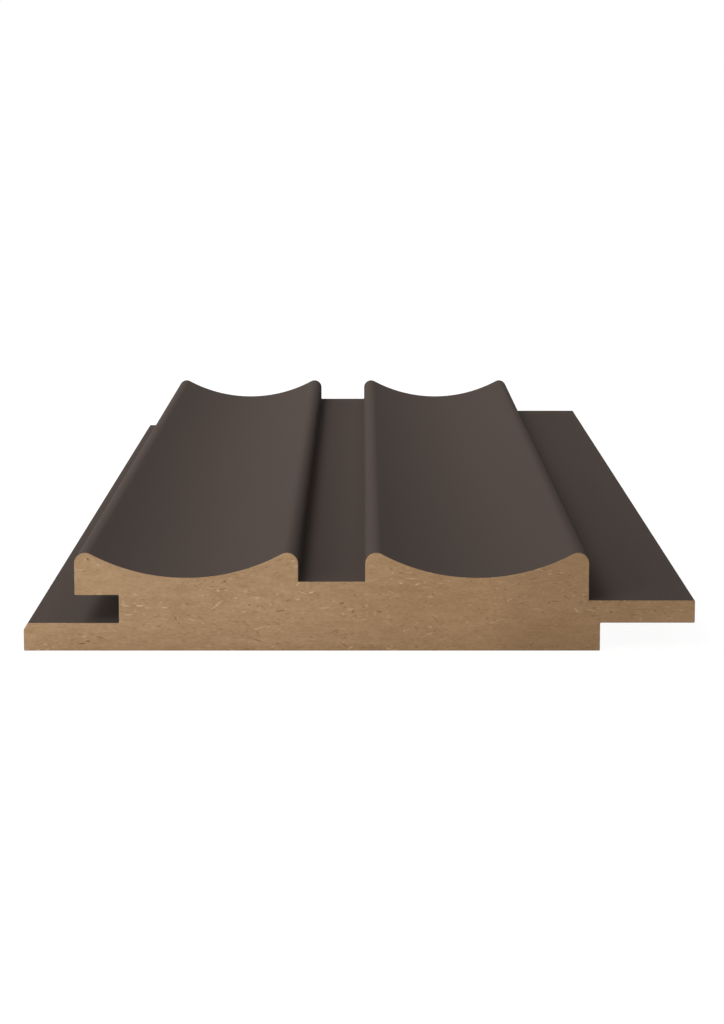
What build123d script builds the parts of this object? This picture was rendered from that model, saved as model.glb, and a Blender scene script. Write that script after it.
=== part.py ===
from build123d import *
import os

# Moulded MDF wall panel: one board with two fluted ribs on its face, a grooved edge and a tongued edge.
# It lies on its back with the face up: X runs across the width, Y along the length, Z through the thickness.
# The origin is on the back, in the middle of the box round the whole board.

# Driving sizes, in millimetres

LENGTH = 300.0  # the cut piece, end to end
BOARD_THICKNESS = 18.0  # back to the crests of the ribs

RIB_COUNT = 2
RIB_WIDTH = 40.5
CHANNEL_WIDTH = 12.15  # flat channel between two ribs, and at the joint with the next panel
CHANNEL_DEPTH = 5.3  # channel floor below the crests
FLUTE_DEPTH = 4.6  # hollow of a rib below its two crests
CREST_RADIUS = 2.0  # round edge between a rib's side and its hollow

LIP_THICKNESS = 5.1  # lower jaw of the grooved edge, which reaches past the upper one
LIP_BEVEL_WIDTH = 0.8
LIP_BEVEL_HEIGHT = 1.2
LIP_CLEARANCE = 0.7  # room at the lip's end when two panels are joined
GROOVE_HEIGHT = 5.15
GROOVE_DEPTH = 8.0  # from the first rib's side into the board

TONGUE_THICKNESS = 4.1
TONGUE_LIFT = 0.05  # room between the tongue and the lip of the next panel below it
TONGUE_CLEARANCE = 0.9  # room at the tongue's end when two panels are joined
SHOULDER_WIDTH = 2.1  # full board left under the tongue's root

# Sizes of the joint: closed up, it leaves a channel like the ones between the ribs

lip_reach = CHANNEL_WIDTH - SHOULDER_WIDTH - LIP_CLEARANCE
tongue_length = CHANNEL_WIDTH + GROOVE_DEPTH - TONGUE_CLEARANCE

# Places across the width

rib_pitch = RIB_WIDTH + CHANNEL_WIDTH
face_width = RIB_COUNT * rib_pitch - CHANNEL_WIDTH
overall_width = lip_reach + face_width + tongue_length

lip_end = -overall_width / 2
face_left = lip_end + lip_reach
groove_floor = face_left + GROOVE_DEPTH
face_right = face_left + face_width
shoulder = face_right + SHOULDER_WIDTH
tongue_end = overall_width / 2

# Heights above the back

groove_roof = LIP_THICKNESS + GROOVE_HEIGHT
tongue_underside = LIP_THICKNESS + TONGUE_LIFT
tongue_top = tongue_underside + TONGUE_THICKNESS
channel_floor = BOARD_THICKNESS - CHANNEL_DEPTH
flute_floor = BOARD_THICKNESS - FLUTE_DEPTH

# The hollow is one arc, tangent to both crests, whose tops lie on the face of the board.
# Carried on past the crests it meets the rib's sides at the corners that the crests round off.

half_rib = RIB_WIDTH / 2
crest_offset = half_rib - CREST_RADIUS
flute_radius = crest_offset**2 / (2 * FLUTE_DEPTH) + FLUTE_DEPTH / 2 - CREST_RADIUS
corner_height = flute_floor + flute_radius - (flute_radius**2 - half_rib**2) ** 0.5

with BuildPart() as wall_panel:
    with BuildSketch(Plane.XZ) as section:
        with BuildLine():
            # Down the grooved edge, along the back and up the tongued edge
            Polyline(
                (face_left, corner_height),
                (face_left, groove_roof),
                (groove_floor, groove_roof),
                (groove_floor, LIP_THICKNESS),
                (lip_end + LIP_BEVEL_WIDTH, LIP_THICKNESS),
                (lip_end, LIP_THICKNESS - LIP_BEVEL_HEIGHT),
                (lip_end, 0),
                (shoulder, 0),
                (shoulder, tongue_underside),
                (tongue_end, tongue_underside),
                (tongue_end, tongue_top),
                (face_right, tongue_top),
                (face_right, corner_height),
            )
            # Hollow face of each rib
            for rib in range(RIB_COUNT):
                rib_left = face_left + rib * rib_pitch
                ThreePointArc(
                    (rib_left, corner_height),
                    (rib_left + half_rib, flute_floor),
                    (rib_left + RIB_WIDTH, corner_height),
                )
            # Channel between each rib and the next
            for rib in range(RIB_COUNT - 1):
                channel_left = face_left + rib * rib_pitch + RIB_WIDTH
                channel_right = channel_left + CHANNEL_WIDTH
                Polyline(
                    (channel_left, corner_height),
                    (channel_left, channel_floor),
                    (channel_right, channel_floor),
                    (channel_right, corner_height),
                )
        make_face()
        fillet(section.vertices().group_by(Axis.Y)[-1], CREST_RADIUS)
    extrude(amount=LENGTH / 2, both=True)

wall_panel.part.label = "wall_panel"

os.makedirs("parts", exist_ok=True)
export_step(wall_panel.part, "parts/wall_panel.step")
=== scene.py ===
import math

import bmesh
import bpy
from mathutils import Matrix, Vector


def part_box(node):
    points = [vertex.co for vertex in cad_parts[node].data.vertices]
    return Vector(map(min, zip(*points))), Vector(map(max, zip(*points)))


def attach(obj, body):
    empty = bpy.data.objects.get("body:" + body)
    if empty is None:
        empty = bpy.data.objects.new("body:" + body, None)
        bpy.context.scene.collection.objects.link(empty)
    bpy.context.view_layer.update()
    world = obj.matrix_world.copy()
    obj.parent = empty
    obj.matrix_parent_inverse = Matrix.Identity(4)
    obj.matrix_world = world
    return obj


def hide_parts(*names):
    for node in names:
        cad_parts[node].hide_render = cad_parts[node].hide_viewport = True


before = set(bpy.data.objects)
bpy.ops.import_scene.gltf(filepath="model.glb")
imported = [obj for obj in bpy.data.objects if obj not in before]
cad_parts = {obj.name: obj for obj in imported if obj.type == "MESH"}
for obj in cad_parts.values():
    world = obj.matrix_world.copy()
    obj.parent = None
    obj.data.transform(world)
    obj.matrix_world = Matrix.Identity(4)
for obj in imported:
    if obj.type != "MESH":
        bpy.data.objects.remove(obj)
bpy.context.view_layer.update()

mm = 0.001  # the frame is in metres
noiseMiddle = 0.5  # noise wavers about this
panelLow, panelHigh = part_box("wall_panel")


def feed(node, sockets):  # links a wire to its socket, and sets any other value
    for name, value in sockets.items():
        socket = node.inputs[name]
        if isinstance(value, Wire):
            node.id_data.links.new(value.socket, socket)
        else:
            socket.default_value = value


class Wire:  # an output of a node, which adds and multiplies as a number does
    def __init__(self, tree, socket=None):
        self.tree = tree
        self.socket = socket

    # Settings go in first, because some of them change which sockets there are
    def node(self, kind, settings, sockets, output=0):
        made = self.tree.nodes.new(kind)
        for name, value in settings.items():
            setattr(made, name, value)
        feed(made, sockets)
        return Wire(self.tree, made.outputs[output])

    def out(self, name):  # another output of the same node
        return Wire(self.tree, self.socket.node.outputs[name])

    def maths(self, operation, first, second):
        return self.node("ShaderNodeMath", {"operation": operation}, {0: first, 1: second})

    def __add__(self, other):
        return self.maths("ADD", self, other)

    def __sub__(self, other):
        return self.maths("SUBTRACT", self, other)

    def __mul__(self, other):
        return self.maths("MULTIPLY", self, other)

    def __truediv__(self, other):
        return self.maths("DIVIDE", self, other)

    def __rsub__(self, other):
        return self.maths("SUBTRACT", other, self)

    def __lt__(self, other):
        return self.maths("LESS_THAN", self, other)

    __radd__ = __add__
    __rmul__ = __mul__

    def clamped(self):  # kept between 0 and 1
        return self.node("ShaderNodeClamp", {}, {"Value": self})

    def hump(self):  # 1 at zero, falling smoothly to 0 at 1 either side
        return (1 - self * self).clamped()

    def vector(self, operation, other):
        return self.node("ShaderNodeVectorMath", {"operation": operation}, {0: self, 1: other})

    def scaled(self, number):
        return self.node("ShaderNodeVectorMath", {"operation": "SCALE"}, {0: self, "Scale": number})

    def length(self):
        return self.node("ShaderNodeVectorMath", {"operation": "LENGTH"}, {0: self}, "Value")

    def parts(self):
        split = self.node("ShaderNodeSeparateXYZ", {}, {0: self})
        return split, split.out("Y"), split.out("Z")

    def joined(self, x, y, z=0.0):
        return self.node("ShaderNodeCombineXYZ", {}, {0: x, 1: y, 2: z})

    def noise(self, size, detail, dimensions="3D", output=0):
        sockets = {"Vector": self, "Scale": 1 / size, "Detail": detail}
        return self.node("ShaderNodeTexNoise", {"noise_dimensions": dimensions}, sockets, output)

    def blend(self, share, first, second, way="MIX"):  # colours go in at 6 and 7 and come out at 2
        settings = {"data_type": "RGBA", "blend_type": way}
        return self.node("ShaderNodeMix", settings, {0: share, 6: first, 7: second}, 2)


def colour(red, green, blue):
    return (red, green, blue, 1.0)


def startMaterial(name):  # its place is in millimetres, and so are the sizes of its patterns
    material = bpy.data.materials.new(name)
    material.use_nodes = True
    tree = material.node_tree
    place = Wire(tree).node("ShaderNodeTexCoord", {}, {}, "Object").scaled(1 / mm)
    return material, tree.nodes["Principled BSDF"], place


# Dark coating

coating = {
    "dark": colour(0.0698, 0.0535, 0.0459),
    "light": colour(0.0742, 0.0572, 0.0492),
    "roughness": 0.90,
    "roughnessCloud": 0.10,
    "roughnessPeel": 0.06,
    "specular": 0.02,
    "cloudSize": 40.0,
    "cloudDetail": 3.0,
    "peelSize": 0.5,
    "peelDetail": 2.0,
    "peelDepth": 0.003 * mm,
}


def makeCoating():
    material, surface, place = startMaterial("matt_coating")
    cloud = place.noise(coating["cloudSize"], coating["cloudDetail"])
    peel = place.noise(coating["peelSize"], coating["peelDetail"])
    roughness = (
        coating["roughness"]
        + coating["roughnessCloud"] * (cloud - noiseMiddle)
        + coating["roughnessPeel"] * (peel - noiseMiddle)
    )
    feed(surface, {
        "Base Color": place.blend(cloud, coating["dark"], coating["light"]),
        "Roughness": roughness,
        "Normal": place.node("ShaderNodeBump", {}, {"Height": peel, "Distance": coating["peelDepth"]}),
        "Specular IOR Level": coating["specular"],
    })
    return material


# Bare board

board = {
    "deep": colour(0.352, 0.216, 0.112),
    "pale": colour(0.515, 0.339, 0.194),
    "evenTone": 0.5,  # from deep to pale, before the grain
    "fibre": colour(0.640, 0.455, 0.285),
    "speck": colour(0.190, 0.101, 0.040),
    "roughness": 0.90,
    "specular": 0.15,
    "bump": 0.04 * mm,
    # Axes across a face, up it and through it; the last shifts the pattern from one face to the next.
    # Then how far a stroke may turn, how drawn out the grain is and how strong the whole pattern is.
    # Fibres lie flat in the board, so on a cut through it the grain runs along the board's faces.
    "sawn": {"axes": "xzy", "turn": 1.0, "stretch": 3.2, "strength": 1.0, "tongueTone": True},
    "milled": {"axes": "yzx", "turn": 1.0, "stretch": 3.2, "strength": 1.0, "tongueTone": False},
    "sanded": {"axes": "xyz", "turn": math.pi, "stretch": 1.0, "strength": 0.6, "tongueTone": False},
    "grain": [(0.28, 2.0, 0.90), (1.2, 2.0, 0.72), (7.0, 2.0, 0.55)],  # size, detail, strength
    "wanderSize": 1.3,
    "wanderDetail": 2.0,
    "wander": 0.45,
    # Cell, share of the cells, half length and half width of the strokes
    "fibres": [(4.0, 0.90, 1.80, 0.15), (2.4, 0.85, 0.80, 0.17), (1.5, 0.70, 0.38, 0.17)],
    "fibreShare": 1.22,
    "specks": [(2.3, 0.75, 0.60, 0.19), (1.6, 0.65, 0.34, 0.20), (2.0, 0.75, 1.10, 0.14)],
    "speckShare": 0.92,
    "shortest": 0.4,  # of the length
    "faintest": 0.08,  # of the strength
    "shift": 17.3,  # of each layer of strokes from the one before
    # Strokes crowd in some patches and fade out between them
    "patchSize": 4.5,
    "patchDetail": 1.0,
    "patchLow": 0.34,
    "patchHigh": 0.62,
    # Towards the tongue the sawn board turns a little redder, and then darker
    "blush": colour(0.92, 0.89, 0.85),
    "blushFrom": -20.0,
    "blushWidth": 44.0,
    "shade": colour(0.218, 0.133, 0.070),
    "shadeShare": 0.265,
    "shadeFrom": 24.0,
    "shadeWidth": 5.0,
}


def scatter(place, cell, share, length, width, turn, layer):
    # One soft stroke in most cells of a pattern, each with its own length, turn and strength.
    # Few turn far and few are strong, because both go by the cube of a chance.
    moved = place.vector("ADD", (layer * board["shift"], 0.0, 0.0))
    sockets = {"Vector": moved, "Scale": 1 / cell}
    cells = moved.node("ShaderNodeTexVoronoi", {"voronoi_dimensions": "2D"}, sockets, "Color")
    chance, size, lean = cells.parts()
    lean = lean * 2 - 1  # to either side
    offset = moved.vector("SUBTRACT", cells.out("Position"))
    sockets = {"Vector": offset, "Angle": lean * lean * lean * turn}
    along, across, _ = moved.node("ShaderNodeVectorRotate", {"rotation_type": "Z_AXIS"}, sockets).parts()
    reach = length * (board["shortest"] + (1 - board["shortest"]) * size)
    rank = chance / share
    strength = board["faintest"] + (1 - board["faintest"]) * rank * rank * rank
    return (along / reach).hump() * (across / width).hump() * (rank < 1) * strength


def makeBareBoard(name, values):
    material, surface, place = startMaterial(name)
    strength, turn = values["strength"], values["turn"]
    axes = dict(zip("xyz", place.parts()))
    across, up, through = (axes[axis] for axis in values["axes"])
    flat = place.joined(across, up + through)
    drift = flat.noise(board["wanderSize"], board["wanderDetail"], "2D", "Color")
    drift = drift.vector("SUBTRACT", (noiseMiddle, noiseMiddle, noiseMiddle))
    bent = flat.vector("ADD", drift.scaled(board["wander"]))
    stretched = bent.vector("DIVIDE", (values["stretch"], 1.0, 1.0))
    tone = board["evenTone"]
    for size, detail, amount in board["grain"]:
        tone = tone + strength * amount * (stretched.noise(size, detail, "2D") - noiseMiddle)
    layer = 0
    fibres, specks = 0.0, 0.0
    for sizes in board["fibres"]:
        layer += 1
        fibres = fibres + scatter(bent, *sizes, turn, layer)
    for sizes in board["specks"]:
        layer += 1
        specks = specks + scatter(bent, *sizes, turn, layer)
    crowd = stretched.noise(board["patchSize"], board["patchDetail"], "2D")
    patch = ((crowd - board["patchLow"]) / (board["patchHigh"] - board["patchLow"])).clamped() * strength
    fibres = fibres * patch
    specks = specks * patch
    tint = place.blend(tone.clamped(), board["deep"], board["pale"])
    tint = place.blend((fibres * board["fibreShare"]).clamped(), tint, board["fibre"])
    tint = place.blend((specks * board["speckShare"]).clamped(), tint, board["speck"])
    if values["tongueTone"]:
        blush = ((axes["x"] - board["blushFrom"]) / board["blushWidth"]).clamped()
        shade = ((axes["x"] - board["shadeFrom"]) / board["shadeWidth"]).clamped()
        tint = place.blend(blush, tint, board["blush"], "MULTIPLY")
        tint = place.blend(shade * board["shadeShare"], tint, board["shade"])
    height = tone + fibres - specks
    feed(surface, {
        "Base Color": tint,
        "Roughness": board["roughness"],
        "Normal": place.node("ShaderNodeBump", {}, {"Height": height, "Distance": board["bump"]}),
        "Specular IOR Level": board["specular"],
    })
    return material


coatSlot, sawnSlot, milledSlot, backSlot = range(4)
finishes = [
    makeCoating(),
    makeBareBoard("sawn_board", board["sawn"]),
    makeBareBoard("milled_board", board["milled"]),
    makeBareBoard("sanded_board", board["sanded"]),
]
print("finishes:", ", ".join(material.name for material in finishes))


# Panel

panel = {
    "thickness": 18.0 * mm,
    "ribCount": 2,
    "ribWidth": 40.5 * mm,
    "channelWidth": 12.15 * mm,
    "channelDepth": 5.3 * mm,
    "fluteDepth": 4.6 * mm,
    "crestRadius": 2.0 * mm,
    "lipReach": 9.35 * mm,
    "lipThickness": 5.1 * mm,
    "lipBevelWidth": 0.8 * mm,
    "lipBevelHeight": 1.2 * mm,
    "grooveHeight": 5.15 * mm,
    "grooveDepth": 8.0 * mm,
    "tongueUnderside": 5.15 * mm,
    "tongueThickness": 4.1 * mm,
    "shoulderWidth": 2.1 * mm,
    "arris": 0.15 * mm,  # round on each machined corner
    "sawnArris": 0.10 * mm,  # broken edge round both ends
    "fluteSteps": 36,
    "crestSteps": 14,
    "arrisSteps": 3,
    "lengthSteps": 60,
    "sharpAngle": 35.0,
    "mapMargin": 0.006,  # of the width of the map that the finishes are baked to
}


def arc(centreX, centreZ, radius, start, end, steps):
    turn = (end - start) / steps
    angles = [start + turn * step for step in range(steps + 1)]
    return [(centreX + radius * math.cos(angle), centreZ + radius * math.sin(angle)) for angle in angles]


def roundedCorner(before, corner, after, radius, steps):
    corner = Vector(corner)
    inward = (Vector(before) - corner).normalized()
    onward = (Vector(after) - corner).normalized()
    half = inward.angle(onward) / 2
    centre = corner + (inward + onward).normalized() * radius / math.sin(half)
    first = corner + inward * radius / math.tan(half) - centre
    last = corner + onward * radius / math.tan(half) - centre
    start = math.atan2(first.y, first.x)
    sweep = first.angle_signed(last)
    return arc(centre.x, centre.y, radius, start, start - sweep, steps)


def ribFace(left):
    # Crest, hollow and crest of one rib, from left to right
    half = panel["ribWidth"] / 2
    crest, depth = panel["crestRadius"], panel["fluteDepth"]
    reach = half - crest
    hollow = reach**2 / (2 * depth) + depth / 2 - crest
    crestZ = panelLow.z + panel["thickness"] - crest
    hollowZ = panelLow.z + panel["thickness"] - depth + hollow
    lean = math.atan2(reach, hollowZ - crestZ)
    up = math.pi / 2
    return (
        arc(left + crest, crestZ, crest, math.pi, up - lean, panel["crestSteps"])
        + arc(left + half, hollowZ, hollow, -up - lean, lean - up, panel["fluteSteps"])[1:-1]
        + arc(left + 2 * half - crest, crestZ, crest, up + lean, 0, panel["crestSteps"])
    )


def panelOutline():
    # Points of the section, clockwise from the lip's lower corner, with the finish of the face after each
    low = panelLow.z
    lipEnd, tongueEnd = panelLow.x, panelHigh.x
    faceLeft = lipEnd + panel["lipReach"]
    pitch = panel["ribWidth"] + panel["channelWidth"]
    faceRight = faceLeft + panel["ribCount"] * pitch - panel["channelWidth"]
    grooveFloor = faceLeft + panel["grooveDepth"]
    shoulder = faceRight + panel["shoulderWidth"]
    lipTop = low + panel["lipThickness"]
    grooveRoof = lipTop + panel["grooveHeight"]
    channelFloor = low + panel["thickness"] - panel["channelDepth"]
    tongueUnder = low + panel["tongueUnderside"]
    tongueTop = tongueUnder + panel["tongueThickness"]

    runs = [
        (coatSlot, [(lipEnd, low)]),
        (coatSlot, [(lipEnd, lipTop - panel["lipBevelHeight"])]),
        (coatSlot, [(lipEnd + panel["lipBevelWidth"], lipTop)]),
        (coatSlot, [(grooveFloor, lipTop)]),
        (coatSlot, [(grooveFloor, grooveRoof)]),
        (coatSlot, [(faceLeft, grooveRoof)]),
    ]
    for rib in range(panel["ribCount"]):
        left = faceLeft + rib * pitch
        if rib:
            runs.append((coatSlot, [(left - panel["channelWidth"], channelFloor)]))
            runs.append((coatSlot, [(left, channelFloor)]))
        runs.append((coatSlot, ribFace(left)))
    runs += [
        (coatSlot, [(faceRight, tongueTop)]),
        (coatSlot, [(tongueEnd, tongueTop)]),
        (backSlot, [(tongueEnd, tongueUnder)]),
        (milledSlot, [(shoulder, tongueUnder)]),
        (backSlot, [(shoulder, low)]),
    ]

    points, slots = [], []
    for index, (slot, run) in enumerate(runs):
        if len(run) == 1:
            before = runs[index - 1][1][-1]
            after = runs[(index + 1) % len(runs)][1][0]
            run = roundedCorner(before, run[0], after, panel["arris"], panel["arrisSteps"])
        points += run
        slots += [slot] * len(run)
    return points, slots


def insetOutline(points, distance):  # moved inwards, or outwards where the distance is negative
    moved = []
    for index, point in enumerate(points):
        before = Vector(points[index - 1])
        after = Vector(points[(index + 1) % len(points)])
        along = (after - before).normalized()
        moved.append((point[0] + along.y * distance, point[1] - along.x * distance))
    return moved


def panelMesh():
    points, slots = panelOutline()
    count = len(points)
    edge = panel["sawnArris"]
    inset = insetOutline(points, edge)
    outset = insetOutline(points, -edge)
    front, back = panelLow.y, panelHigh.y
    steps = panel["lengthSteps"]
    stations = [front + edge + (back - front - 2 * edge) * step / steps for step in range(steps + 1)]
    mesh = bmesh.new()
    bakeMap = mesh.loops.layers.uv.new("OFBake")

    # On the map both ends lie below, one above the other, and the long faces above them, unrolled
    margin = panel["mapMargin"]
    endScale = (1 - 2 * margin) / (panelHigh.x - panelLow.x + 2 * edge)
    endRise = (panelHigh.z - panelLow.z + 2 * edge) * endScale + margin
    sideLow = margin + 2 * endRise
    sideHigh = 1 - margin
    walked = [0.0]
    for index in range(count):
        walked.append(walked[-1] + (Vector(points[(index + 1) % count]) - Vector(points[index])).length)

    def endSpot(spot, level):
        u = margin + (spot[0] - panelLow.x + edge) * endScale
        return u, margin + level * endRise + (spot[1] - panelLow.z + edge) * endScale

    def sideSpot(index, row):
        u = margin + (1 - 2 * margin) * walked[index] / walked[count]
        return u, sideLow + (sideHigh - sideLow) * row / steps

    def ring(outline, y):
        return [mesh.verts.new((x, y, z)) for x, z in outline]

    def face(corners, spots, slot, smooth):
        made = mesh.faces.new(corners)
        made.material_index = slot
        made.smooth = smooth
        for loop, spot in zip(made.loops, spots):
            loop[bakeMap].uv = spot

    sides = [ring(points, y) for y in stations]
    for row, (first, second) in enumerate(zip(sides, sides[1:])):
        for index in range(count):
            after = (index + 1) % count
            corners = (first[index], first[after], second[after], second[index])
            places = ((index, row), (index + 1, row), (index + 1, row + 1), (index, row + 1))
            face(corners, [sideSpot(*place) for place in places], slots[index], True)
    for level, (rim, y) in enumerate(((sides[0], front), (sides[-1], back))):
        end = ring(inset, y)
        face(end, [endSpot(spot, level) for spot in inset], sawnSlot, False)
        for index in range(count):
            after = (index + 1) % count
            corners = (end[index], end[after], rim[after], rim[index])
            around = (inset[index], inset[after], outset[after], outset[index])
            face(corners, [endSpot(spot, level) for spot in around], sawnSlot, True)
    bmesh.ops.recalc_face_normals(mesh, faces=mesh.faces)

    data = bpy.data.meshes.new("moulded_panel")
    mesh.to_mesh(data)
    mesh.free()
    data.set_sharp_from_angle(angle=math.radians(panel["sharpAngle"]))
    print("panel:", count, "points round the section,", len(data.polygons), "faces")
    return data


def makePanel():
    data = panelMesh()
    for material in finishes:
        data.materials.append(material)
    piece = bpy.data.objects.new("moulded_panel", data)
    bpy.context.collection.objects.link(piece)
    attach(piece, "root")
    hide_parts("wall_panel")


makePanel()


# Studio

studio = {
    "floorRadius": 6.0,
    "floorCorners": 96,
    "floorDrop": 0.05 * mm,
    "floorColour": colour(0.85, 0.85, 0.85),
    "floorRoughness": 1.0,
    "floorSpecular": 0.0,
    "whiteness": 1.13,  # makes up for the floor's own shade, which shows near the panel
    "shadowShare": 0.16,  # how much of that shade shows
    "shadowFrom": 0.25,  # it fades from here, measured from the middle of the floor
    "shadowTo": 0.60,
    "skyColour": colour(1.0, 1.0, 1.0),
    "skyStrength": 0.05,
}

middle = (0.0, 0.0, 0.01)  # of the panel, where most of the lamps aim
frontEnd = (-0.03, -0.15, 0.01)  # of the panel, left of its middle
lamps = {
    "front_lamp": {"place": (-0.35, -0.55, 0.20), "target": frontEnd, "size": 0.25, "power": 1.39},
    "front_high_lamp": {"place": (-0.30, -0.90, 0.80), "target": middle, "size": 0.40, "power": 2.48},
    "left_lamp": {"place": (-0.80, 0.60, 0.35), "target": middle, "size": 0.40, "power": 3.44},
    "high_lamp": {"place": (-0.25, 0.15, 0.50), "target": middle, "size": 0.30, "power": 2.03},
    "right_lamp": {"place": (0.45, 0.30, 1.00), "target": middle, "size": 0.40, "power": 1.30},
    "fill_lamp": {"place": (1.10, -0.60, 0.12), "target": middle, "size": 0.50, "power": 2.00},
}

view = {
    "distance": 0.50267,  # from the panel's front end
    "height": 0.10185,  # above its back
    "sideways": 0.00053,
    "tilt": 8.639,  # down from level, in degrees
    "lens": 99.16,
    "nearest": 0.01,
}


def seenShare(wire):
    # 1 for what the camera sees, straight or mirrored, and 0 for light on its way to the panel
    path = wire.node("ShaderNodeLightPath", {}, {}, "Is Camera Ray")
    return (path + path.out("Is Glossy Ray") + path.out("Is Transmission Ray")).clamped()


def makeFloor():
    bpy.ops.mesh.primitive_circle_add(
        vertices=studio["floorCorners"], radius=studio["floorRadius"], fill_type="NGON",
        location=(0, 0, panelLow.z - studio["floorDrop"]),
    )
    floor = bpy.context.object
    floor.name = "studio_floor"
    material, surface, place = startMaterial("pale_floor")
    tree = material.node_tree
    feed(surface, {
        "Base Color": studio["floorColour"],
        "Roughness": studio["floorRoughness"],
        "Specular IOR Level": studio["floorSpecular"],
    })
    away = place.length() * mm
    near = ((studio["shadowTo"] - away) / (studio["shadowTo"] - studio["shadowFrom"])).clamped()
    white = seenShare(place) * (1 - studio["shadowShare"] * near)
    glow = place.node("ShaderNodeEmission", {}, {"Strength": studio["whiteness"]})
    mixed = place.node("ShaderNodeMixShader", {}, {0: white, 1: Wire(tree, surface.outputs[0]), 2: glow})
    feed(tree.nodes["Material Output"], {"Surface": mixed})
    floor.data.materials.append(material)


def makeSky():
    world = bpy.data.worlds.new("studio_sky")
    bpy.context.scene.world = world
    world.use_nodes = True
    tree = world.node_tree
    strength = seenShare(Wire(tree)) * (1 - studio["skyStrength"]) + studio["skyStrength"]
    feed(tree.nodes["Background"], {"Color": studio["skyColour"], "Strength": strength})


def makeLamp(name, values):
    lamp = bpy.data.lights.new(name, "AREA")
    lamp.size = values["size"]
    lamp.energy = values["power"]
    holder = bpy.data.objects.new(name, lamp)
    holder.location = values["place"]
    aim = Vector(values["target"]) - Vector(values["place"])
    holder.rotation_euler = aim.to_track_quat("-Z", "Y").to_euler()
    holder.visible_camera = False
    bpy.context.collection.objects.link(holder)


def makeCamera():
    camera = bpy.data.cameras.new("camera")
    camera.lens = view["lens"]
    camera.clip_start = view["nearest"]
    holder = bpy.data.objects.new("camera", camera)
    holder.location = (view["sideways"], panelLow.y - view["distance"], panelLow.z + view["height"])
    holder.rotation_euler = (math.radians(90 - view["tilt"]), 0, 0)  # at 90 it looks level
    bpy.context.collection.objects.link(holder)
    bpy.context.scene.camera = holder


makeFloor()
makeSky()
for name, values in lamps.items():
    makeLamp(name, values)
makeCamera()
bpy.context.scene.view_settings.view_transform = "Standard"
print("studio: floor, sky,", len(lamps), "lamps and camera")
